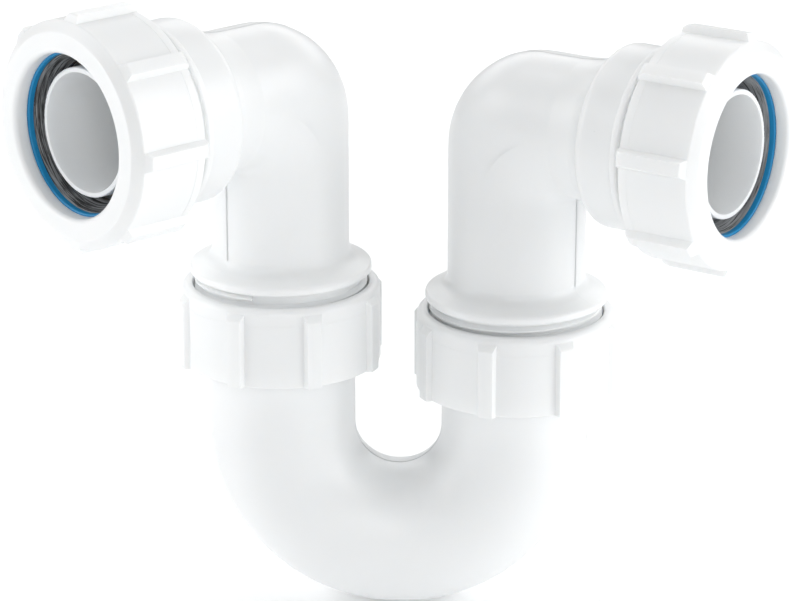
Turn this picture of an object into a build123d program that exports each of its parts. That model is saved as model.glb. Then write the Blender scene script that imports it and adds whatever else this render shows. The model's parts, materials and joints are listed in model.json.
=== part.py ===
"""Swivel running trap for 1 1/4 in waste pipe, 75 mm water seal.

A U bend carries two identical swivel elbows on union nuts. Each elbow ends in a horizontal
compression socket with a nut, a friction ring and a rubber seal. Millimetres, +Z up. The origin
is on the inlet pipe's axis at the mouth of its nut, and the U bend lies in a plane along +X.

Each elbow and the pieces on it are drawn in the elbow's own frame, in which the leg stands on the
Z axis with the U bend's centre height at zero, and the arm points along +X. They are then turned
and set on their leg.
"""

import os
from math import cos, radians, sin, tan

from build123d import *

# Roundings of moulded edges
FINE = 0.2
SMALL = 0.35
MEDIUM = 0.6
SOFT = 0.85

# How the trap is put together
LEG_SPACING = 57.0
ARM_HEIGHT = 84.5
OUTLET_DROP = 6.2
INLET_AZIMUTH = 225.5
OUTLET_AZIMUTH = -31.2
OUTLET_NUT_ADVANCE = 1.0

# U bend: a tube with a flange turned out at the top of each leg
BEND_R = 17.85
BEND_BORE_R = 15.7
FLANGE_R = 19.4
FLANGE_BOTTOM = 20.8
FLANGE_TOP = 23.3

# Elbow: leg, collar, corner and arm
LEG_R = 16.63
LEG_BORE_R = 14.5
ARM_R = 17.3
CORNER_R = 7.2
COLLAR_R = 22.0
COLLAR_UNDERSIDE = 39.1
COLLAR_SLOPE = 0.3
COLLAR_TOP = 41.0
COLLAR_CONE = 2.1
COLLAR_FILLET = 3.0
THROAT_ROUNDING = 1.6
ARM_TAPER = 6.0
SPIGOT_END = 26.25
SPIGOT_BORE_R = 17.0
SPIGOT_BORE_TOP = 36.1
LEG_BORE_START = 43.1
ARM_BORE_TAPER_START = 13.2
ARM_BORE_TAPER_END = 21.2

# Union thread, G 1 1/4: 41.9 mm over the crests, 11 threads per inch
UNION_MAJOR_R = 20.95
UNION_CORE_R = 19.7
UNION_PITCH = 2.309
UNION_THREAD_START = 27.6
UNION_THREAD_END = 37.9
UNION_THREAD_PHASE = -136.0

# Pipe socket: drum, bead, thread and the tube inside it that the pipe slides over
DRUM_R = 21.8
DRUM_START = 28.0
DRUM_ROUNDING = 2.2
BEAD_R = 22.9
BEAD_START = 38.3
BEAD_WIDTH = 2.0
BEAD_ROUNDING = 0.7
SOCKET_MOUTH = 54.9
SOCKET_LEAD = 0.8
SOCKET_WALL_R = 19.6
SOCKET_FLOOR = 31.5
TUBE_R = 15.07
TUBE_BORE_R = 13.9
TUBE_END = 58.0

# Compression thread
PIPE_MAJOR_R = 23.3
PIPE_CORE_R = 22.0
PIPE_PITCH = 3.0
PIPE_THREAD_START = 43.6
PIPE_THREAD_END = 53.4

# Both threads: running clearance between crest and root, and the flank's slope
THREAD_GAP = 0.25
FLANK = tan(radians(27.5))
CREST_WIDTH = 0.45
BURIED = 0.35

# Union nut
UNION_NUT_BOTTOM = 16.83
UNION_NUT_TOP = 36.38
UNION_NUT_R = 24.1
UNION_RIB_R = 25.35
UNION_LIP_TOP = 19.5
UNION_LIP_BORE_R = 18.25
UNION_MOUTH_R = 21.37
UNION_MOUTH_DEPTH = 1.4
UNION_TOP_ROUNDING = 1.6
UNION_PARTING_BELOW_TOP = 4.2
UNION_RIB_SLOPE_START = 3.0
UNION_RIB_SLOPE_END = 1.5
UNION_THREAD_BELOW_TOP = 3.2

# Compression nut
PIPE_NUT_REAR = 44.1
PIPE_NUT_FACE = 63.34
PIPE_NUT_R = 26.6
PIPE_FACE_R = 24.1
PIPE_RIB_R = 28.3
PIPE_BEVEL = 1.85
PIPE_LIP_REAR = 59.8
PIPE_OPENING_R = 19.08
OPENING_ROUNDING = 1.1
PIPE_PARTING = 2.2
PIPE_RIB_REAR_SLOPE = 1.1
PIPE_RIB_REAR_DROP = 0.7
PIPE_RIB_SLOPE_START = 2.9
PIPE_NUT_THREAD_START = 45.6
PIPE_THREAD_BEHIND_LIP = 5.5
RING_HOUSING_DEPTH = 2.6
RING_PLAY = 0.3

# Ribs on both nuts
RIB_COUNT = 8
RIB_WIDTH = 4.5
RIB_FLANK_ANGLE = 67.0
RIB_ROOT = 1.0
RIB_SPARE = 1.0
OVERLAP = 0.6
PARTING_STEP = 0.07
UNION_RIB_PHASE = {"inlet": 22.6, "outlet": 15.9}
PIPE_RIB_PHASE = {"inlet": 43.3, "outlet": -6.9}

# Rings, washers and seals; SEAT is the play left between flat faces that meet
SEAT = 0.05
SLIP_RING_BORE_R = 18.2
SLIP_RING_R = 19.6
WASHER_BORE_R = 15.9
WASHER_R = 19.4
THRUST_RING_REAR = 58.4
THRUST_RING_BORE_R = 18.5
THRUST_RING_R = 22.0
SEAL_FRONT = 58.35
SEAL_FLANGE = 2.4
SEAL_TAIL = 49.5
SEAL_FLANGE_R = 21.4
SEAL_TAIL_R = 19.3
SEAL_MOUTH_R = 18.35
SEAL_THROAT_R = 16.6
SEAL_TAIL_WALL = 0.7

# Along the seal's inside from its tail: the throat, then a groove
SEAL_THROAT_START = 2.7
SEAL_THROAT_END = 4.1
SEAL_GROOVE_START = 4.4
SEAL_GROOVE_END = 5.0
SEAL_CONE_START = 5.3
SEAL_GROOVE_DEPTH = 0.55
SEAL_CONE_STEP = 0.3

# The planes and axes that the turned pieces are drawn on, in the elbow's own frame
LEG_SECTION = Plane.XZ
ARM_SECTION = Plane(origin=(0, 0, ARM_HEIGHT), x_dir=(0, 0, 1), z_dir=(0, 1, 0))
ARM_AXIS = Axis((0, 0, ARM_HEIGHT), (1, 0, 0))
ARM_FRAME = Plane(origin=(0, 0, ARM_HEIGHT), x_dir=(0, 1, 0), z_dir=(1, 0, 0))

# Where the elbows stand: the inlet leg is behind the inlet mouth, and the outlet leg is beside it
MOUTH = PIPE_NUT_FACE - OPENING_ROUNDING
INLET_X = -MOUTH * cos(radians(INLET_AZIMUTH))
INLET_Y = -MOUTH * sin(radians(INLET_AZIMUTH))
BEND_CENTRE_X = INLET_X + LEG_SPACING / 2
PLACES = {
    "inlet": Location((INLET_X, INLET_Y, -ARM_HEIGHT), (0, 0, INLET_AZIMUTH)),
    "outlet": Location(
        (INLET_X + LEG_SPACING, INLET_Y, -ARM_HEIGHT - OUTLET_DROP), (0, 0, OUTLET_AZIMUTH)
    ),
}
ADVANCES = {"inlet": 0.0, "outlet": OUTLET_NUT_ADVANCE}


def outline(*corners):
    """Close an outline through corners given as (radius, height along the axis, rounding)."""
    points = [(radius, height) for radius, height, _ in corners]
    roundings = [rounding for _, _, rounding in corners]
    with BuildLine() as course:
        FilletPolyline(*points, radius=roundings, close=True)
    make_face(course.edges())


def thread(root_r, crest_r, pitch, start, end, phase):
    """One helical ridge about Z, rising from root_r to crest_r, with its root buried in the wall."""
    inwards = crest_r < root_r
    depth = abs(crest_r - root_r)
    buried_r = root_r + BURIED if inwards else root_r - BURIED
    half_crest = CREST_WIDTH / 2
    half_root = half_crest + (depth + BURIED) * FLANK
    with BuildPart() as ridge:
        with BuildLine() as course:
            Helix(pitch, end - start, crest_r, center=(0, 0, start))
        course_start = course.line @ 0
        section = Plane(origin=(0, 0, course_start.Z), x_dir=(1, 0, 0), z_dir=course.line % 0)
        with BuildSketch(section):
            with BuildLine():
                Polyline(
                    (buried_r, -half_root),
                    (crest_r, -half_crest),
                    (crest_r, half_crest),
                    (buried_r, half_root),
                    close=True,
                )
            make_face()
        sweep(path=course.line, is_frenet=True)
    return ridge.part.moved(Location((0, 0, 0), (0, 0, phase)))


def ribs(plane, body_r, rib_r, phase, length):
    """Bars of trapezium section round a nut, which stand proud of the envelope that trims them."""
    with BuildSketch(plane) as bars:
        with PolarLocations(body_r - RIB_ROOT, RIB_COUNT, start_angle=phase):
            Trapezoid(
                RIB_WIDTH + 2 * RIB_ROOT / tan(radians(RIB_FLANK_ANGLE)),
                rib_r - body_r + RIB_ROOT + RIB_SPARE,
                RIB_FLANK_ANGLE,
                rotation=-90,
                align=(Align.CENTER, Align.MIN),
            )
    extrude(bars.sketch, amount=length)


def finish(part, side, name):
    """Set a piece on its leg, name it and write it."""
    placed = part.moved(PLACES[side])
    placed.label = f"{side}_{name}"
    export_step(placed, f"parts/{placed.label}.step")


os.makedirs("parts", exist_ok=True)

# U bend: one half turn of tube, a straight leg up from each end, and the flanges
bend_plane = Plane.XY.offset(-ARM_HEIGHT)
inlet_leg = Location((INLET_X, INLET_Y, -ARM_HEIGHT))
outlet_leg = Location((INLET_X + LEG_SPACING, INLET_Y, -ARM_HEIGHT))
half_turn_axis = Axis((BEND_CENTRE_X, INLET_Y, -ARM_HEIGHT), (0, 1, 0))
with BuildPart() as u_bend:
    with BuildSketch(bend_plane):
        with Locations((INLET_X, INLET_Y)):
            Circle(BEND_R)
    revolve(axis=half_turn_axis, revolution_arc=-180)
    for leg, drop in ((inlet_leg, 0.0), (outlet_leg, OUTLET_DROP)):
        with Locations(leg):
            Cylinder(BEND_R, FLANGE_TOP - drop, align=(Align.CENTER, Align.CENTER, Align.MIN))
        with Locations(leg * Location((0, 0, FLANGE_BOTTOM - drop))):
            Cylinder(
                FLANGE_R, FLANGE_TOP - FLANGE_BOTTOM, align=(Align.CENTER, Align.CENTER, Align.MIN)
            )
    with BuildSketch(bend_plane):
        with Locations((INLET_X, INLET_Y)):
            Circle(BEND_BORE_R)
    revolve(axis=half_turn_axis, revolution_arc=-180, mode=Mode.SUBTRACT)
    for leg, drop in ((inlet_leg, 0.0), (outlet_leg, OUTLET_DROP)):
        with Locations(leg):
            Cylinder(
                BEND_BORE_R,
                FLANGE_TOP - drop,
                align=(Align.CENTER, Align.CENTER, Align.MIN),
                mode=Mode.SUBTRACT,
            )
u_bend.part.label = "u_bend"
export_step(u_bend.part, "parts/u_bend.step")

# Elbow: the outside, then the waterway, then the socket's ring-shaped space
union_ridge = thread(
    UNION_CORE_R,
    UNION_MAJOR_R,
    UNION_PITCH,
    UNION_THREAD_START,
    UNION_THREAD_END,
    UNION_THREAD_PHASE,
)
pipe_ridge = thread(
    PIPE_CORE_R, PIPE_MAJOR_R, PIPE_PITCH, PIPE_THREAD_START, PIPE_THREAD_END, 0
).moved(ARM_FRAME.location)
corner_height = ARM_HEIGHT - CORNER_R
corner_axis = Axis((CORNER_R, 0, corner_height), (0, 1, 0))
throat_r = LEG_R + THROAT_ROUNDING
with BuildPart() as elbow:
    with BuildSketch(LEG_SECTION):
        outline(
            (0, SPIGOT_END, 0),
            (UNION_CORE_R, SPIGOT_END, 0),
            (UNION_CORE_R, COLLAR_UNDERSIDE - COLLAR_SLOPE, 0),
            (COLLAR_R, COLLAR_UNDERSIDE, SOFT),
            (COLLAR_R, COLLAR_TOP, SOFT),
            (LEG_R, COLLAR_TOP + COLLAR_CONE, COLLAR_FILLET),
            (LEG_R, corner_height, 0),
            (0, corner_height, 0),
        )
    revolve(axis=Axis.Z)
    with BuildSketch(Plane.XY.offset(corner_height)):
        Circle(LEG_R)
        with Locations((CORNER_R, 0)):
            Rectangle(
                2 * LEG_R, 2 * LEG_R, align=(Align.MIN, Align.CENTER), mode=Mode.SUBTRACT
            )
    revolve(axis=corner_axis, revolution_arc=90)
    with BuildSketch(Plane.XY.offset(ARM_HEIGHT - throat_r)):
        Circle(LEG_R)
        Rectangle(2 * LEG_R, 2 * LEG_R, align=(Align.MAX, Align.CENTER), mode=Mode.SUBTRACT)
    revolve(
        axis=Axis((throat_r, 0, ARM_HEIGHT - throat_r), (0, 1, 0)), revolution_arc=90
    )
    with BuildSketch(ARM_SECTION):
        outline(
            (0, CORNER_R, 0),
            (LEG_R, CORNER_R, 0),
            (LEG_R, throat_r, 0),
            (ARM_R, throat_r + ARM_TAPER, 0),
            (ARM_R, DRUM_START, MEDIUM),
            (DRUM_R, DRUM_START, DRUM_ROUNDING),
            (DRUM_R, BEAD_START, 0),
            (BEAD_R, BEAD_START, BEAD_ROUNDING),
            (BEAD_R, BEAD_START + BEAD_WIDTH, BEAD_ROUNDING),
            (PIPE_CORE_R, BEAD_START + BEAD_WIDTH, 0),
            (PIPE_CORE_R, SOCKET_MOUTH, 0),
            (TUBE_R, SOCKET_MOUTH, 0),
            (TUBE_R, TUBE_END, SMALL),
            (0, TUBE_END, 0),
        )
    revolve(axis=ARM_AXIS)
    with BuildSketch(LEG_SECTION):
        outline(
            (0, SPIGOT_END, 0),
            (SPIGOT_BORE_R, SPIGOT_END, 0),
            (SPIGOT_BORE_R, SPIGOT_BORE_TOP, 0),
            (LEG_BORE_R, LEG_BORE_START, 0),
            (LEG_BORE_R, corner_height, 0),
            (0, corner_height, 0),
        )
    revolve(axis=Axis.Z, mode=Mode.SUBTRACT)
    with BuildSketch(Plane.XY.offset(corner_height)):
        Circle(LEG_BORE_R)
        with Locations((CORNER_R, 0)):
            Rectangle(
                2 * LEG_R, 2 * LEG_R, align=(Align.MIN, Align.CENTER), mode=Mode.SUBTRACT
            )
    revolve(axis=corner_axis, revolution_arc=90, mode=Mode.SUBTRACT)
    with BuildSketch(ARM_SECTION):
        outline(
            (0, CORNER_R, 0),
            (LEG_BORE_R, CORNER_R, 0),
            (LEG_BORE_R, ARM_BORE_TAPER_START, 0),
            (TUBE_BORE_R, ARM_BORE_TAPER_END, 0),
            (TUBE_BORE_R, TUBE_END, SMALL),
            (TUBE_BORE_R + OVERLAP, TUBE_END + OVERLAP, 0),
            (0, TUBE_END + OVERLAP, 0),
        )
    revolve(axis=ARM_AXIS, mode=Mode.SUBTRACT)
    with BuildSketch(ARM_SECTION):
        outline(
            (TUBE_R, SOCKET_FLOOR, 0),
            (SOCKET_WALL_R, SOCKET_FLOOR, 0),
            (SOCKET_WALL_R, SOCKET_MOUTH - SOCKET_LEAD, 0),
            (SOCKET_WALL_R + SOCKET_LEAD, SOCKET_MOUTH, 0),
            (SOCKET_WALL_R + SOCKET_LEAD, SOCKET_MOUTH + OVERLAP, 0),
            (TUBE_R, SOCKET_MOUTH + OVERLAP, 0),
        )
    revolve(axis=ARM_AXIS, mode=Mode.SUBTRACT)
    add(union_ridge)
    add(pipe_ridge)
for side in PLACES:
    finish(elbow.part, side, "elbow")

# Union nuts: the ribs, trimmed by a turned envelope, then the body and its thread
union_nut_ridge = thread(
    UNION_MAJOR_R + THREAD_GAP,
    UNION_CORE_R + THREAD_GAP,
    UNION_PITCH,
    UNION_THREAD_START - UNION_PITCH / 2,
    UNION_NUT_TOP - UNION_THREAD_BELOW_TOP,
    UNION_THREAD_PHASE,
)
for side in PLACES:
    with BuildPart() as union_nut:
        ribs(
            Plane.XY.offset(UNION_NUT_BOTTOM),
            UNION_NUT_R,
            UNION_RIB_R,
            UNION_RIB_PHASE[side],
            UNION_NUT_TOP - UNION_NUT_BOTTOM,
        )
        with BuildSketch(LEG_SECTION):
            outline(
                (UNION_NUT_R - OVERLAP, UNION_NUT_BOTTOM, 0),
                (UNION_RIB_R, UNION_NUT_BOTTOM, 0),
                (UNION_RIB_R, UNION_NUT_TOP - UNION_RIB_SLOPE_START, MEDIUM),
                (UNION_NUT_R - PARTING_STEP, UNION_NUT_TOP - UNION_RIB_SLOPE_END, 0),
                (UNION_NUT_R - OVERLAP, UNION_NUT_TOP - UNION_RIB_SLOPE_END, 0),
            )
        revolve(axis=Axis.Z, mode=Mode.INTERSECT)
        with BuildSketch(LEG_SECTION):
            outline(
                (UNION_LIP_BORE_R, UNION_NUT_BOTTOM, SMALL),
                (UNION_NUT_R, UNION_NUT_BOTTOM, SMALL),
                (UNION_NUT_R, UNION_NUT_TOP - UNION_PARTING_BELOW_TOP, 0),
                (UNION_NUT_R - PARTING_STEP, UNION_NUT_TOP - UNION_PARTING_BELOW_TOP, 0),
                (UNION_NUT_R - PARTING_STEP, UNION_NUT_TOP, UNION_TOP_ROUNDING),
                (UNION_MOUTH_R, UNION_NUT_TOP, SMALL),
                (UNION_MOUTH_R, UNION_NUT_TOP - UNION_MOUTH_DEPTH, 0),
                (UNION_MAJOR_R + THREAD_GAP, UNION_NUT_TOP - UNION_MOUTH_DEPTH - FINE, 0),
                (UNION_MAJOR_R + THREAD_GAP, UNION_LIP_TOP, 0),
                (UNION_LIP_BORE_R, UNION_LIP_TOP, 0),
            )
        revolve(axis=Axis.Z)
        add(union_nut_ridge)
    finish(union_nut.part, side, "union_nut")

# Slip rings and union washers: flat rings in the joint under each elbow
with BuildPart() as slip_ring:
    with BuildSketch(LEG_SECTION):
        outline(
            (SLIP_RING_BORE_R, UNION_LIP_TOP + SEAT, 0),
            (SLIP_RING_R, UNION_LIP_TOP + SEAT, 0),
            (SLIP_RING_R, FLANGE_BOTTOM - SEAT, FINE),
            (SLIP_RING_BORE_R, FLANGE_BOTTOM - SEAT, FINE),
        )
    revolve(axis=Axis.Z)
with BuildPart() as union_washer:
    with BuildSketch(LEG_SECTION):
        outline(
            (WASHER_BORE_R, FLANGE_TOP, 0),
            (WASHER_R, FLANGE_TOP, 0),
            (WASHER_R, SPIGOT_END - SEAT, SMALL),
            (WASHER_BORE_R, SPIGOT_END - SEAT, SMALL),
        )
    revolve(axis=Axis.Z)
for side in PLACES:
    finish(slip_ring.part, side, "slip_ring")
    finish(union_washer.part, side, "union_washer")

# Compression nuts: made as the union nuts are, about the arm
pipe_nut_ridge = thread(
    PIPE_MAJOR_R + THREAD_GAP,
    PIPE_CORE_R + THREAD_GAP,
    PIPE_PITCH,
    PIPE_NUT_THREAD_START,
    PIPE_LIP_REAR - PIPE_THREAD_BEHIND_LIP,
    (PIPE_NUT_THREAD_START - PIPE_THREAD_START - PIPE_PITCH / 2) / PIPE_PITCH * 360,
).moved(ARM_FRAME.location)
for side in PLACES:
    rear = PIPE_NUT_REAR - ADVANCES[side]
    face = PIPE_NUT_FACE - ADVANCES[side]
    lip_rear = PIPE_LIP_REAR - ADVANCES[side]
    with BuildPart() as compression_nut:
        ribs(
            ARM_FRAME.offset(rear),
            PIPE_NUT_R,
            PIPE_RIB_R,
            PIPE_RIB_PHASE[side],
            face - rear,
        )
        with BuildSketch(ARM_SECTION):
            outline(
                (PIPE_NUT_R - OVERLAP, rear, 0),
                (PIPE_RIB_R - PIPE_RIB_REAR_DROP, rear, 0),
                (PIPE_RIB_R, rear + PIPE_RIB_REAR_SLOPE, MEDIUM),
                (PIPE_RIB_R, face - PIPE_RIB_SLOPE_START, MEDIUM),
                (PIPE_NUT_R - PARTING_STEP, face - PIPE_BEVEL, 0),
                (PIPE_NUT_R - OVERLAP, face - PIPE_BEVEL, 0),
            )
        revolve(axis=ARM_AXIS, mode=Mode.INTERSECT)
        with BuildSketch(ARM_SECTION):
            outline(
                (PIPE_MAJOR_R + THREAD_GAP + FINE, rear, 0),
                (PIPE_NUT_R + PARTING_STEP, rear, SMALL),
                (PIPE_NUT_R + PARTING_STEP, rear + PIPE_PARTING, 0),
                (PIPE_NUT_R, rear + PIPE_PARTING, 0),
                (PIPE_NUT_R, face - PIPE_BEVEL, MEDIUM),
                (PIPE_FACE_R, face, MEDIUM),
                (PIPE_OPENING_R, face, OPENING_ROUNDING),
                (PIPE_OPENING_R, lip_rear, 0),
                (THRUST_RING_R + RING_PLAY, lip_rear, 0),
                (THRUST_RING_R + RING_PLAY, lip_rear - RING_HOUSING_DEPTH, 0),
                (PIPE_MAJOR_R + THREAD_GAP, lip_rear - RING_HOUSING_DEPTH - SMALL, 0),
                (PIPE_MAJOR_R + THREAD_GAP, rear + MEDIUM, 0),
            )
        revolve(axis=ARM_AXIS)
        add(pipe_nut_ridge)
    finish(compression_nut.part, side, "compression_nut")

# Thrust rings and pipe seals
for side in PLACES:
    advance = ADVANCES[side]
    front = SEAL_FRONT - advance
    tail = SEAL_TAIL - advance
    with BuildPart() as thrust_ring:
        with BuildSketch(ARM_SECTION):
            outline(
                (THRUST_RING_BORE_R, THRUST_RING_REAR - advance, 0),
                (THRUST_RING_R, THRUST_RING_REAR - advance, 0),
                (THRUST_RING_R, PIPE_LIP_REAR - SEAT - advance, FINE),
                (THRUST_RING_BORE_R, PIPE_LIP_REAR - SEAT - advance, SMALL),
            )
        revolve(axis=ARM_AXIS)
    finish(thrust_ring.part, side, "thrust_ring")
    with BuildPart() as pipe_seal:
        with BuildSketch(ARM_SECTION):
            outline(
                (SEAL_MOUTH_R, front, SMALL),
                (SEAL_FLANGE_R, front, SMALL),
                (SEAL_FLANGE_R, front - SEAL_FLANGE, 0),
                (SEAL_TAIL_R, front - SEAL_FLANGE, 0),
                (SEAL_TAIL_R, tail, 0),
                (SEAL_TAIL_R - SEAL_TAIL_WALL, tail, 0),
                (SEAL_THROAT_R, tail + SEAL_THROAT_START, SMALL),
                (SEAL_THROAT_R, tail + SEAL_THROAT_END, 0),
                (SEAL_THROAT_R + SEAL_GROOVE_DEPTH, tail + SEAL_GROOVE_START, 0),
                (SEAL_THROAT_R + SEAL_GROOVE_DEPTH, tail + SEAL_GROOVE_END, 0),
                (SEAL_THROAT_R + SEAL_CONE_STEP, tail + SEAL_CONE_START, 0),
            )
        revolve(axis=ARM_AXIS)
    finish(pipe_seal.part, side, "pipe_seal")
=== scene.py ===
"""Looks of the white swivel trap: moulded plastic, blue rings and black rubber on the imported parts.

Metres, +Z up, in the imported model's own frame. The leg axes come from the swivel joints, and the
socket axes from the pipe mounts. The new pieces are the fine raised lines that a mould leaves
where its halves meet.
"""

import json
import math

import bpy
import numpy as np
from mathutils import Matrix, Vector

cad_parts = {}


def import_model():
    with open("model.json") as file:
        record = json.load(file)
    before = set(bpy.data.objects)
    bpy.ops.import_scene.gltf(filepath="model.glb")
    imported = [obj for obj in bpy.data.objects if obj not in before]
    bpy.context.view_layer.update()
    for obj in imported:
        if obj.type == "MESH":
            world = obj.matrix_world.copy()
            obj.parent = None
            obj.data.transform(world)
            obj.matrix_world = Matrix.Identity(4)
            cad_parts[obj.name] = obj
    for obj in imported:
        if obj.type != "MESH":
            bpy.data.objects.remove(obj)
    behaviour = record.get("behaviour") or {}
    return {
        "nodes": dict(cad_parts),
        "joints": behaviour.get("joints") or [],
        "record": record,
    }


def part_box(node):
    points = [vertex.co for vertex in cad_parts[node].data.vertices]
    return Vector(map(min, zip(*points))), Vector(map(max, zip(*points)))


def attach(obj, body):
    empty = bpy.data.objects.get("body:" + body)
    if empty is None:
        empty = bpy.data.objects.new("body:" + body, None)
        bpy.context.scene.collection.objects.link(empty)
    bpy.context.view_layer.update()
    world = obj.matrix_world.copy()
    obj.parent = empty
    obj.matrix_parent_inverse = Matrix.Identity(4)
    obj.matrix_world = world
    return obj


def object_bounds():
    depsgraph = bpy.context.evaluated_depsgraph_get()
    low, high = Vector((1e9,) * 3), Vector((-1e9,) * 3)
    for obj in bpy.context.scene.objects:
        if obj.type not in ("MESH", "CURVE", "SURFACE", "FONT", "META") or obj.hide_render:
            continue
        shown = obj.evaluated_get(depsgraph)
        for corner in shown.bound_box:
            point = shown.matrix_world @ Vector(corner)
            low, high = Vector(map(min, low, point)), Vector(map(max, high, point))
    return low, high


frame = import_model()
cad_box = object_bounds()

SIDES = ("inlet", "outlet")
MM = 0.001

# Elbow, as the parts are moulded
LEG_R = 16.63 * MM
ARM_R = 17.3 * MM
CORNER_R = 7.2 * MM
THROAT_R = 1.6 * MM
ARM_TAPER = 6.0 * MM
DRUM_START = 28.0 * MM
ARM_ABOVE_COLLAR = 40.6 * MM

# Bend: its tube, and where the moulding lines on its legs end
BEND_R = 17.85 * MM
LINE_TOP_BELOW_ARM = 68.0 * MM

# Moulding lines: their section, their swell and waver along the length, and their steps
LINE_WIDTH = 0.5 * MM
LINE_RISE = 0.06 * MM
LINE_SINK = 0.1 * MM
LINE_ENDS = 1 / 20
LINE_WAVER = 1 / 6
LINE_WAVES = (41.0, 17.0)
LINE_STEPS = 220
LINE_ROUND = 10
PARTING_WIDTH = 0.25 * MM

# Camera, aimed from in front and a little above
CAMERA_AZIMUTH = 3.03
CAMERA_ELEVATION = 18.99
CAMERA_DISTANCE = 0.8088
CAMERA_LENS = 148.7
SENSOR_WIDTH = 36.0
AIM_BEHIND_LEGS = 0.0072
AIM_BELOW_ARM = 0.0556

# Colours, linear
WHITE = (0.90, 0.912, 0.915)
WHITE_SHADE = (0.86, 0.877, 0.882)
FLECK = (0.42, 0.42, 0.41)
NATURAL = (0.74, 0.75, 0.73)
NATURAL_SHADE = (0.66, 0.67, 0.65)
BLUE = (0.003, 0.24, 0.51)
BLUE_SHADE = (0.0, 0.18, 0.42)
BLACK = (0.016, 0.017, 0.018)
# Grey of the rubber's streaks: partly wear, partly painted sheen along the seals' ridges
BLACK_SHEEN_AND_WEAR = (0.36, 0.37, 0.38)
FLOOR = (0.93, 0.935, 0.94)
FLOOR_SHADE = (0.91, 0.915, 0.92)

# A seal's grey streaks, partly wear and partly painted sheen on its ridges, show where their noise is
# above this, so a lower cut makes a greyer seal. The outlet seal's lower cut is painted light: the
# same rubber made greyer on the brighter side.
SEAL_CUT = {"inlet": 0.46, "outlet": 0.37}

# Moulded plastic: its relief and marks, and the light that it lets through
PLASTIC_IOR = 1.49
SCATTER = 0.6
SCATTER_REACH = 2.4 * MM
SCATTER_TINT = (1.0, 0.95, 0.9)
SKIN_RELIEF = 0.012 * MM
SCUFF_DEPTH = 0.3
SCUFF_DULLING = 0.16

# Studio
WORLD_STRENGTH = 0.22
FLOOR_REACH = 2.0
FLOOR_GLOW = 0.14

joints = {joint["name"]: joint for joint in frame["joints"]}
mounts = {mount["name"]: mount for mount in frame["record"]["mounts"]}


def leg_of(side):
    """A point on the leg's axis, at the height of its union."""
    return Vector(joints[f"{side}_swivel"]["pos_m"])


def mouth_of(side):
    """The middle of the pipe socket's mouth."""
    return Vector(mounts[f"{side}_pipe"]["pos_m"])


def azimuth_of(side):
    """The arm's direction, as an angle about +Z from +X."""
    along = mounts[f"{side}_pipe"]["axis"]
    return math.atan2(along[1], along[0])


# --- Surface effects ---------------------------------------------------------------------------


def put(tree, kind, sockets=None, **settings):
    """A node with its settings, and each named socket given a value or joined to an output."""
    made = tree.nodes.new(kind)
    for name, value in settings.items():
        setattr(made, name, value)
    for name, value in (sockets or {}).items():
        if isinstance(value, bpy.types.NodeSocket):
            tree.links.new(value, made.inputs[name])
        else:
            made.inputs[name].default_value = value
    return made


def effect(name, inputs, outputs):
    """An empty node group with named sockets; returns it with its way in and its way out."""
    tree = bpy.data.node_groups.new(name, "ShaderNodeTree")
    for label, kind, value in inputs:
        made = tree.interface.new_socket(
            name=label, in_out="INPUT", socket_type=f"NodeSocket{kind}"
        )
        if value is not None:
            made.default_value = value
    for label, kind in outputs:
        tree.interface.new_socket(name=label, in_out="OUTPUT", socket_type=f"NodeSocket{kind}")
    way_in = tree.nodes.new("NodeGroupInput")
    way_out = tree.nodes.new("NodeGroupOutput")
    return tree, way_in, way_out


def maths(tree, operation, first, second=0.0):
    """A math node's output; each term is a number or an output."""
    return put(tree, "ShaderNodeMath", {0: first, 1: second}, operation=operation).outputs[0]


def ramp(tree, value, low, high, start=0.0, end=1.0):
    """A value carried smoothly from start to end as it goes from low to high."""
    return put(
        tree,
        "ShaderNodeMapRange",
        {"Value": value, "From Min": low, "From Max": high, "To Min": start, "To Max": end},
        interpolation_type="SMOOTHSTEP",
    ).outputs["Result"]


def skin_effect():
    """Moulded skin: broad soft waves and a fine grain, added as one height."""
    tree, way_in, way_out = effect(
        "moulded_skin",
        [("Vector", "Vector", None), ("Waves", "Float", 260.0), ("Grain", "Float", 4200.0)],
        [("Height", "Float"), ("Cloud", "Float")],
    )
    waves = put(
        tree,
        "ShaderNodeTexNoise",
        {"Vector": way_in.outputs["Vector"], "Scale": way_in.outputs["Waves"], "Detail": 2.0},
    )
    grain = put(
        tree,
        "ShaderNodeTexNoise",
        {"Vector": way_in.outputs["Vector"], "Scale": way_in.outputs["Grain"], "Detail": 1.0},
    )
    cloud = put(
        tree,
        "ShaderNodeTexNoise",
        {"Vector": way_in.outputs["Vector"], "Scale": 34.0, "Detail": 3.0, "Distortion": 0.8},
    )
    height = maths(
        tree,
        "ADD",
        maths(tree, "MULTIPLY", waves.outputs["Fac"], 0.8),
        maths(tree, "MULTIPLY", grain.outputs["Fac"], 0.2),
    )
    tree.links.new(height, way_out.inputs["Height"])
    tree.links.new(ramp(tree, cloud.outputs["Fac"], 0.15, 0.85), way_out.inputs["Cloud"])
    return tree


def fleck_effect():
    """Flecks in the plastic: a dot round the seed of each cell whose random number is high."""
    tree, way_in, way_out = effect(
        "flecks",
        [("Vector", "Vector", None), ("Scale", "Float", 120.0), ("Share", "Float", 0.3),
         ("Size", "Float", 0.03)],
        [("Mask", "Float")],
    )
    cells = put(
        tree,
        "ShaderNodeTexVoronoi",
        {"Vector": way_in.outputs["Vector"], "Scale": way_in.outputs["Scale"]},
    )
    draw = put(tree, "ShaderNodeSeparateColor", {"Color": cells.outputs["Color"]})
    chosen = maths(tree, "LESS_THAN", draw.outputs["Red"], way_in.outputs["Share"])
    width = maths(tree, "MULTIPLY", way_in.outputs["Size"], draw.outputs["Green"])
    dot = maths(tree, "LESS_THAN", cells.outputs["Distance"], width)
    tree.links.new(maths(tree, "MULTIPLY", chosen, dot), way_out.inputs["Mask"])
    return tree


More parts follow.
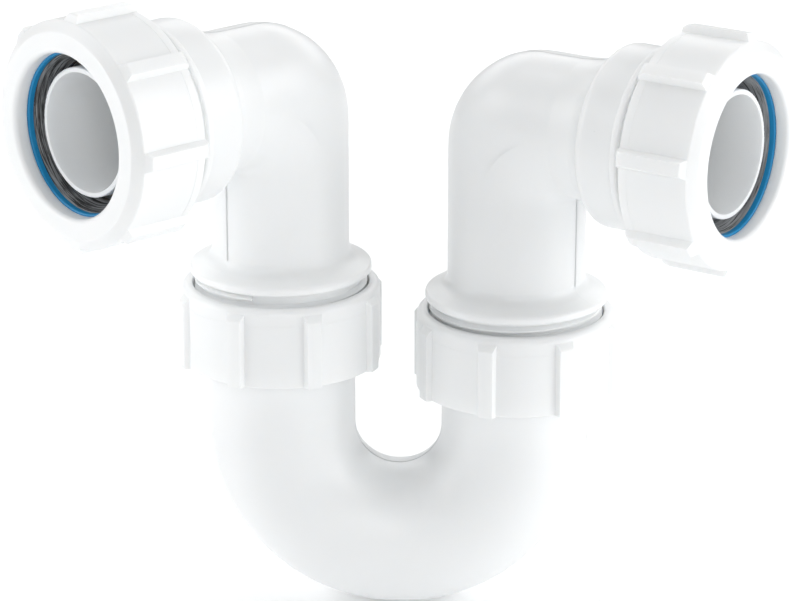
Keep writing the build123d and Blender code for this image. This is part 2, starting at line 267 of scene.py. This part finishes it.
def scuff_effect():
    """Fine scuffs: noise drawn out along two slanted directions, and cut off low."""
    tree, way_in, way_out = effect(
        "scuffs",
        [("Vector", "Vector", None), ("Scale", "Float", 150.0), ("Cut", "Float", 0.71)],
        [("Mask", "Float")],
    )
    masks = []
    for turn, stretch in (((0.5, 0.3, 0.9), (1.0, 18.0, 18.0)), ((1.2, 0.8, 0.2), (15.0, 1.0, 17.0))):
        slanted = put(
            tree,
            "ShaderNodeMapping",
            {"Vector": way_in.outputs["Vector"], "Rotation": turn, "Scale": stretch},
        )
        drawn = put(
            tree,
            "ShaderNodeTexNoise",
            {"Vector": slanted.outputs["Vector"], "Scale": way_in.outputs["Scale"],
             "Detail": 2.0, "Roughness": 0.6},
        )
        above = maths(tree, "SUBTRACT", drawn.outputs["Fac"], way_in.outputs["Cut"])
        masks.append(ramp(tree, above, 0.0, 0.06))
    tree.links.new(maths(tree, "MAXIMUM", *masks), way_out.inputs["Mask"])
    return tree


def turned_effect():
    """Streaks round the Z axis: noise over the point's direction, radius and height."""
    tree, way_in, way_out = effect(
        "turned_streaks",
        [("Vector", "Vector", None), ("Fineness", "Float", 2400.0), ("Length", "Float", 1.6),
         ("Cut", "Float", 0.5), ("Soft", "Float", 0.1)],
        [("Mask", "Float")],
    )
    part = put(tree, "ShaderNodeSeparateXYZ", {"Vector": way_in.outputs["Vector"]})
    flat = put(tree, "ShaderNodeCombineXYZ", {"X": part.outputs["X"], "Y": part.outputs["Y"]})
    radius = put(
        tree, "ShaderNodeVectorMath", {0: flat.outputs["Vector"]}, operation="LENGTH"
    ).outputs["Value"]
    direction = put(
        tree, "ShaderNodeVectorMath", {0: flat.outputs["Vector"]}, operation="NORMALIZE"
    ).outputs["Vector"]
    around = put(
        tree,
        "ShaderNodeVectorMath",
        {0: direction, "Scale": way_in.outputs["Length"]},
        operation="SCALE",
    ).outputs["Vector"]
    along = put(
        tree,
        "ShaderNodeCombineXYZ",
        {"Z": maths(tree, "MULTIPLY", part.outputs["Z"], way_in.outputs["Fineness"])},
    )
    place = put(
        tree,
        "ShaderNodeVectorMath",
        {0: around, 1: along.outputs["Vector"]},
        operation="ADD",
    ).outputs["Vector"]
    streaks = put(
        tree,
        "ShaderNodeTexNoise",
        {"Vector": place, "W": maths(tree, "MULTIPLY", radius, way_in.outputs["Fineness"]),
         "Scale": 1.0, "Detail": 3.0, "Roughness": 0.62},
        noise_dimensions="4D",
    )
    above = maths(tree, "SUBTRACT", streaks.outputs["Fac"], way_in.outputs["Cut"])
    mask = maths(tree, "DIVIDE", above, way_in.outputs["Soft"])
    held = put(tree, "ShaderNodeClamp", {"Value": mask})
    tree.links.new(held.outputs["Result"], way_out.inputs["Mask"])
    return tree


def parting_effect():
    """A parting line: dark where the point is near the plane y = 0, with a wavering width."""
    tree, way_in, way_out = effect(
        "parting_line",
        [("Vector", "Vector", None), ("Width", "Float", 0.0003)],
        [("Mask", "Float")],
    )
    part = put(tree, "ShaderNodeSeparateXYZ", {"Vector": way_in.outputs["Vector"]})
    waver = put(
        tree,
        "ShaderNodeTexNoise",
        {"Vector": way_in.outputs["Vector"], "Scale": 220.0, "Detail": 1.0},
    )
    width = maths(
        tree, "MULTIPLY", way_in.outputs["Width"], ramp(tree, waver.outputs["Fac"], 0.3, 0.7, 0.5, 1.4)
    )
    off = maths(tree, "DIVIDE", maths(tree, "ABSOLUTE", part.outputs["Y"]), width)
    tree.links.new(ramp(tree, off, 0.0, 1.0, 1.0, 0.0), way_out.inputs["Mask"])
    return tree


SKIN = skin_effect()
FLECKS = fleck_effect()
SCUFFS = scuff_effect()
TURNED = turned_effect()
PARTING = parting_effect()


# --- Materials ---------------------------------------------------------------------------------


def rgba(colour):
    """A colour with full alpha."""
    return (*colour, 1.0)


def use(tree, group, vector, **values):
    """A group placed in a material, reading the given coordinates."""
    made = put(tree, "ShaderNodeGroup", node_tree=group)
    tree.links.new(vector, made.inputs["Vector"])
    for name, value in values.items():
        made.inputs[name].default_value = value
    return made


def blend_colour(tree, factor, first, second):
    """Two colours mixed by a factor."""
    made = put(tree, "ShaderNodeMix", data_type="RGBA")
    for index, value in ((0, factor), (6, first), (7, second)):
        if isinstance(value, bpy.types.NodeSocket):
            tree.links.new(value, made.inputs[index])
        else:
            made.inputs[index].default_value = value
    return made.outputs[2]


def begin(name, centre, turn):
    """A material with its shader, and Object coordinates centred and turned onto the piece."""
    material = bpy.data.materials.new(name)
    material.use_nodes = True
    tree = material.node_tree
    shader = tree.nodes["Principled BSDF"]
    seen = put(tree, "ShaderNodeTexCoord")
    set_on = put(
        tree,
        "ShaderNodeMapping",
        {"Vector": seen.outputs["Object"], "Location": centre, "Rotation": turn},
        vector_type="TEXTURE",
    )
    return material, tree, shader, set_on.outputs["Vector"]


def bump(tree, shader, height, distance):
    """Joins a height to the shader's normal."""
    made = put(tree, "ShaderNodeBump", {"Height": height, "Distance": distance, "Strength": 1.0})
    tree.links.new(made.outputs["Normal"], shader.inputs["Normal"])


def moulded(name, centre, turn, colour, shade, gloss, line_width=0.0):
    """Moulded plastic: clouded colour, flecks, scuffs that dull it, and a line at y = 0."""
    material, tree, shader, place = begin(name, centre, turn)
    skin = use(tree, SKIN, place)
    flecks = use(tree, FLECKS, place)
    scuffs = use(tree, SCUFFS, place)
    tone = blend_colour(
        tree, maths(tree, "MULTIPLY", skin.outputs["Cloud"], 0.5), rgba(colour), rgba(shade)
    )
    marked = blend_colour(
        tree, maths(tree, "MULTIPLY", flecks.outputs["Mask"], 0.55), tone, rgba(FLECK)
    )
    height = maths(
        tree,
        "SUBTRACT",
        skin.outputs["Height"],
        maths(tree, "MULTIPLY", scuffs.outputs["Mask"], SCUFF_DEPTH),
    )
    if line_width:
        line = use(tree, PARTING, place, Width=line_width)
        marked = blend_colour(
            tree, maths(tree, "MULTIPLY", line.outputs["Mask"], 0.35), marked, rgba(shade)
        )
        height = maths(tree, "ADD", height, maths(tree, "MULTIPLY", line.outputs["Mask"], 1.5))
    rough = maths(
        tree,
        "ADD",
        ramp(tree, skin.outputs["Cloud"], 0.0, 1.0, gloss, gloss + 0.06),
        maths(tree, "MULTIPLY", scuffs.outputs["Mask"], SCUFF_DULLING),
    )
    tree.links.new(marked, shader.inputs["Base Color"])
    tree.links.new(rough, shader.inputs["Roughness"])
    shader.inputs["IOR"].default_value = PLASTIC_IOR
    shader.inputs["Subsurface Weight"].default_value = SCATTER
    shader.inputs["Subsurface Radius"].default_value = SCATTER_TINT
    shader.inputs["Subsurface Scale"].default_value = SCATTER_REACH
    bump(tree, shader, height, SKIN_RELIEF)
    return material


def ringed(name, centre, turn, colour, shade, gloss, streak_strength, cut, fineness, sheen_bump):
    """A turned piece: streaks round its axis change colour, gloss and height."""
    material, tree, shader, place = begin(name, centre, turn)
    fine = use(tree, TURNED, place, Fineness=fineness, Length=2.2, Cut=cut, Soft=0.1)
    broad = use(tree, TURNED, place, Fineness=fineness / 5, Length=1.1, Cut=0.38, Soft=0.3)
    skin = use(tree, SKIN, place, Waves=900.0)
    flecks = use(tree, FLECKS, place, Scale=420.0, Share=0.35, Size=0.16)
    streaked = maths(
        tree, "MULTIPLY", fine.outputs["Mask"], ramp(tree, broad.outputs["Mask"], 0.0, 1.0, 0.5, 1.0)
    )
    # On the seals these grey streaks are painted sheen along the rubber's ridges, with some wear
    streak_tone = maths(tree, "MULTIPLY", streaked, streak_strength)
    streaks_and_dust = maths(tree, "MAXIMUM", streak_tone, maths(tree, "MULTIPLY", flecks.outputs["Mask"], streak_strength * 0.7))
    tree.links.new(
        blend_colour(tree, streaks_and_dust, rgba(colour), rgba(shade)), shader.inputs["Base Color"]
    )
    rough = maths(
        tree, "ADD", ramp(tree, broad.outputs["Mask"], 0.0, 1.0, gloss - 0.08, gloss + 0.08),
        maths(tree, "MULTIPLY", streaked, 0.12),
    )
    tree.links.new(rough, shader.inputs["Roughness"])
    bump(
        tree,
        shader,
        maths(tree, "ADD", streaked, maths(tree, "MULTIPLY", skin.outputs["Height"], 0.5)),
        sheen_bump,
    )
    return material


def dress(node, material):
    """Gives a CAD node its finish."""
    slots = frame["nodes"][node].data.materials
    slots.clear()
    slots.append(material)


bend_middle = (leg_of("inlet") + leg_of("outlet")) / 2
bend_plastic = moulded("bend_plastic", bend_middle, (0, 0, 0), WHITE, WHITE_SHADE, 0.32, PARTING_WIDTH)
dress("u_bend", bend_plastic)
elbow_plastics = {}
for side in SIDES:
    leg, mouth, azimuth = leg_of(side), mouth_of(side), azimuth_of(side)
    upright = (0, 0, azimuth)
    lying = (0, math.pi / 2, azimuth)
    elbow_plastics[side] = moulded(
        f"{side}_elbow_plastic", leg, upright, WHITE, WHITE_SHADE, 0.32, PARTING_WIDTH
    )
    dress(f"{side}_elbow", elbow_plastics[side])
    dress(
        f"{side}_union_nut",
        moulded(f"{side}_union_nut_plastic", leg, upright, WHITE, WHITE_SHADE, 0.33),
    )
    dress(
        f"{side}_compression_nut",
        moulded(f"{side}_compression_nut_plastic", mouth, lying, WHITE, WHITE_SHADE, 0.33),
    )
    dress(
        f"{side}_slip_ring",
        moulded(f"{side}_slip_ring_plastic", leg, upright, NATURAL, NATURAL_SHADE, 0.42),
    )
    dress(
        f"{side}_thrust_ring",
        ringed(f"{side}_blue_ring", mouth, lying, BLUE, BLUE_SHADE, 0.42, 0.6, 0.5, 1800.0,
               0.01 * MM),
    )
    # The seal's grey streaks are painted sheen along its ridges, partly wear; its side's cut greys the
    # outlet seal as painted light
    dress(
        f"{side}_pipe_seal",
        ringed(f"{side}_seal_rubber", mouth, lying, BLACK, BLACK_SHEEN_AND_WEAR, 0.45, 0.95, SEAL_CUT[side],
               3600.0, 0.05 * MM),
    )
    dress(
        f"{side}_union_washer",
        ringed(f"{side}_washer_rubber", leg, upright, BLACK, BLACK_SHEEN_AND_WEAR, 0.6, 0.25, 0.55, 2000.0,
               0.03 * MM),
    )


# --- Moulding lines ----------------------------------------------------------------------------


def surface(name, points, material, body):
    """A closed mesh of quads over rings of points, whose first and last rings are single points."""
    rows, columns = points.shape[:2]
    row = np.arange(1, rows - 2)
    column = np.arange(columns)
    start = 1 + (row[:, None] - 1) * columns + column
    beside = 1 + (row[:, None] - 1) * columns + (column + 1) % columns
    quads = np.stack([start, beside, beside + columns, start + columns], axis=-1).reshape(-1, 4)
    last = 1 + (rows - 2) * columns
    first_ring = 1 + column
    last_ring = last - columns + column
    near = np.stack(
        [np.zeros_like(column), 1 + (column + 1) % columns, first_ring], axis=-1
    )
    far = np.stack(
        [np.full_like(column, last), last_ring, last - columns + (column + 1) % columns], axis=-1
    )
    vertices = np.concatenate([points[0, :1], points[1:-1].reshape(-1, 3), points[-1, :1]])
    mesh = bpy.data.meshes.new(name)
    mesh.from_pydata(vertices.tolist(), [], quads.tolist() + near.tolist() + far.tolist())
    mesh.validate()
    mesh.shade_smooth()
    mesh.materials.append(material)
    piece = bpy.data.objects.new(name, mesh)
    bpy.context.scene.collection.objects.link(piece)
    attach(piece, body)
    return piece


def arc(centre, radius, start, end, steps):
    """Points round a centre from one angle to another, in degrees, with their outward normals."""
    angle = np.radians(np.linspace(start, end, steps))
    outward = np.stack([np.cos(angle), np.sin(angle)], axis=-1)
    return np.array(centre) + radius * outward, outward


def straight(first, last, normal, steps):
    """Evenly spaced points between two ends, all with one normal."""
    share = np.linspace(0.0, 1.0, steps)[:, None]
    points = (1 - share) * np.array(first) + share * np.array(last)
    return points, np.tile(np.array(normal, float), (steps, 1))


def line(name, runs, place, material, body):
    """A raised line along runs drawn in a plane.

    At share t of its length the line stands on point P with normal N. Across it, an ellipse has
    the line's width, and reaches from the sink below the surface to the rise above it. Width and
    rise swell from nothing over the first and last twentieth of the length, and waver by a sixth
    of themselves. No point stands outside the CAD's box.
    """
    path = np.concatenate([points for points, _ in runs])
    normal = np.concatenate([normals for _, normals in runs])
    step = np.linalg.norm(np.diff(path, axis=0), axis=1)
    reach = np.concatenate([[0.0], np.cumsum(step)])
    keep = np.concatenate([[True], step > 1e-9])
    even = np.linspace(0.0, reach[-1], LINE_STEPS)
    path, normal = (
        np.stack([np.interp(even, reach[keep], values[keep, i]) for i in range(2)], axis=-1)
        for values in (path, normal)
    )
    normal /= np.linalg.norm(normal, axis=1, keepdims=True)
    share = even / reach[-1]
    swell = np.clip(np.minimum(share, 1 - share) / LINE_ENDS, 0, 1) ** 0.5
    swell *= 1 + LINE_WAVER * np.sin(share * LINE_WAVES[0]) * np.sin(share * LINE_WAVES[1])
    turn = np.linspace(0, 2 * math.pi, LINE_ROUND, endpoint=False)
    across = np.cos(turn)[None, :] * (LINE_WIDTH / 2) * swell[:, None]
    middle = (LINE_RISE - LINE_SINK) / 2
    half = (LINE_RISE + LINE_SINK) / 2
    above = (middle + half * np.sin(turn)[None, :]) * swell[:, None]
    in_plane = path[:, None, :] + normal[:, None, :] * above[:, :, None]
    points = np.stack([in_plane[..., 0], across, in_plane[..., 1]], axis=-1)
    turned = np.array(place.to_3x3())
    points = points @ turned.T + np.array(place.translation)
    points = np.clip(points, np.array(cad_box[0]), np.array(cad_box[1]))
    return surface(name, points, material, body)


def elbow_lines(side):
    """The elbow's two lines: over the outside of its corner, and through its throat."""
    leg, mouth = leg_of(side), mouth_of(side)
    place = Matrix.Translation((leg.x, leg.y, mouth.z)) @ Matrix.Rotation(azimuth_of(side), 4, "Z")
    collar = -ARM_ABOVE_COLLAR
    throat = LEG_R + THROAT_R
    body = f"{side}_elbow"
    outside = [
        straight((-LEG_R, collar), (-LEG_R, -CORNER_R), (-1, 0), 40),
        arc((CORNER_R, -CORNER_R), CORNER_R + LEG_R, 180, 90, 60),
        straight((CORNER_R, LEG_R), (throat, LEG_R), (0, 1), 12),
        straight((throat, LEG_R), (throat + ARM_TAPER, ARM_R), (0, 1), 8),
        straight((throat + ARM_TAPER, ARM_R), (DRUM_START, ARM_R), (0, 1), 8),
    ]
    bend_points, bend_normals = arc((throat, -throat), THROAT_R, 180, 90, 16)
    inside = [
        straight((LEG_R, collar), (LEG_R, -throat), (1, 0), 40),
        (bend_points, -bend_normals),
        straight((throat, -LEG_R), (throat + ARM_TAPER, -ARM_R), (0, -1), 8),
        straight((throat + ARM_TAPER, -ARM_R), (DRUM_START, -ARM_R), (0, -1), 8),
    ]
    line(f"{side}_elbow_outer_line", outside, place, elbow_plastics[side], body)
    line(f"{side}_elbow_throat_line", inside, place, elbow_plastics[side], body)


def bend_lines():
    """The U bend's two lines, in its own plane: round the outside and round the inside."""
    lowest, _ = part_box("u_bend")
    half_span = (leg_of("outlet").x - leg_of("inlet").x) / 2
    centre_z = lowest.z + half_span + BEND_R
    place = Matrix.Translation((bend_middle.x, bend_middle.y, centre_z))
    tops = {side: mouth_of(side).z - LINE_TOP_BELOW_ARM - centre_z for side in SIDES}
    for name, radius, facing in (
        ("bend_outer_line", half_span + BEND_R, 1),
        ("bend_inner_line", half_span - BEND_R, -1),
    ):
        points, normals = arc((0, 0), radius, 180, 360, 120)
        runs = [
            straight((-radius, tops["inlet"]), (-radius, 0), (-facing, 0), 20),
            (points, facing * normals),
            straight((radius, 0), (radius, tops["outlet"]), (facing, 0), 20),
        ]
        line(name, runs, place, bend_plastic, "bend")


for side in SIDES:
    elbow_lines(side)
bend_lines()


# --- Stage, light and camera -------------------------------------------------------------------


def floor():
    """A flat pale square under the object. It glows a little, so that it stays white."""
    height = cad_box[0].z
    signs = [(-1, -1), (1, -1), (1, 1), (-1, 1)]
    corners = [(x * FLOOR_REACH, y * FLOOR_REACH, height) for x, y in signs]
    mesh = bpy.data.meshes.new("floor")
    mesh.from_pydata(corners, [], [(0, 1, 2, 3)])
    piece = bpy.data.objects.new("floor", mesh)
    bpy.context.scene.collection.objects.link(piece)
    material, tree, shader, place = begin("floor_paint", (0, 0, 0), (0, 0, 0))
    skin = use(tree, SKIN, place, Waves=60.0, Grain=900.0)
    tree.links.new(
        blend_colour(tree, skin.outputs["Cloud"], rgba(FLOOR), rgba(FLOOR_SHADE)),
        shader.inputs["Base Color"],
    )
    shader.inputs["Roughness"].default_value = 0.7
    shader.inputs["Specular IOR Level"].default_value = 0.2
    shader.inputs["Emission Color"].default_value = rgba(FLOOR)
    shader.inputs["Emission Strength"].default_value = FLOOR_GLOW
    bump(tree, shader, skin.outputs["Height"], 0.02 * MM)
    mesh.materials.append(material)


def lamp(name, place, target, width, height, power):
    """A soft rectangular light, turned to face a point."""
    light = bpy.data.lights.new(name, "AREA")
    light.shape = "RECTANGLE"
    light.size, light.size_y = width, height
    light.energy = power
    made = bpy.data.objects.new(name, light)
    made.location = place
    made.rotation_euler = (target - place).to_track_quat("-Z", "Y").to_euler()
    bpy.context.scene.collection.objects.link(made)


def camera():
    """The camera, on the line from its aim at the given azimuth and elevation."""
    made = bpy.data.objects.new("camera", bpy.data.cameras.new("camera"))
    made.data.lens = CAMERA_LENS
    made.data.sensor_width = SENSOR_WIDTH
    made.data.clip_start = 0.05
    turn, rise = math.radians(CAMERA_AZIMUTH), math.radians(CAMERA_ELEVATION)
    aim = Vector(
        (bend_middle.x, bend_middle.y + AIM_BEHIND_LEGS, mouth_of("inlet").z - AIM_BELOW_ARM)
    )
    back = Vector(
        (math.sin(turn) * math.cos(rise), -math.cos(turn) * math.cos(rise), math.sin(rise))
    )
    made.location = aim + CAMERA_DISTANCE * back
    made.rotation_euler = (math.pi / 2 - rise, 0, turn)
    bpy.context.scene.collection.objects.link(made)
    bpy.context.scene.camera = made


def world():
    """Even white light from all round."""
    made = bpy.data.worlds.new("studio")
    made.use_nodes = True
    made.node_tree.nodes["Background"].inputs["Color"].default_value = (1.0, 1.0, 1.0, 1.0)
    made.node_tree.nodes["Background"].inputs["Strength"].default_value = WORLD_STRENGTH
    bpy.context.scene.world = made


floor()
world()
middle = (cad_box[0] + cad_box[1]) / 2
lamp("left", middle + Vector((-0.94, -0.08, 0.30)), middle, 0.6, 0.9, 4.9)
lamp("right", middle + Vector((0.91, -0.20, 0.28)), middle, 0.6, 0.9, 5.7)
lamp("front", middle + Vector((0.10, -1.15, 0.46)), middle, 0.6, 0.5, 3.5)
lamp("top", middle + Vector((0.0, 0.20, 0.95)), middle, 1.0, 0.5, 2.8)
lamp("backdrop", middle + Vector((0.0, 1.0, 0.5)), middle + Vector((0.0, 0.9, -0.2)), 2.0, 0.8, 9.0)
camera()
bpy.context.scene.view_settings.view_transform = "Standard"
